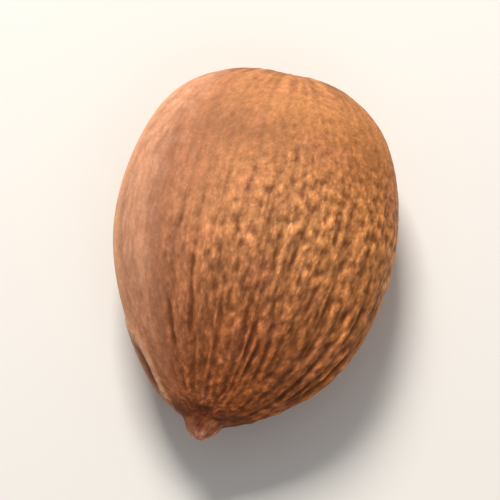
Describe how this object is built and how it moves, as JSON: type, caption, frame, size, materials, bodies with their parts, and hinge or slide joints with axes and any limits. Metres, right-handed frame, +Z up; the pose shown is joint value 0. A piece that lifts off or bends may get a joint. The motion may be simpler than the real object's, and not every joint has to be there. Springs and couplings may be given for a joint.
{
  "type": "apricot kernel",
  "caption": "Whole apricot kernel: a flattened pointed oval seed with fine ribs along its brown skin, lying on one broad side.",
  "frame": {"origin": "middle of the footprint, on the surface that the kernel lies on", "axes": "+Y runs along the length from the tip to the round end, +X across the width, +Z up through the thickness"},
  "size_m": [0.0122, 0.017, 0.0057],
  "materials": {
    "seed_coat": "matte and grainy"
  },
  "bodies": {
    "root": {"kernel": "seed_coat"}
  },
  "joints": []
}
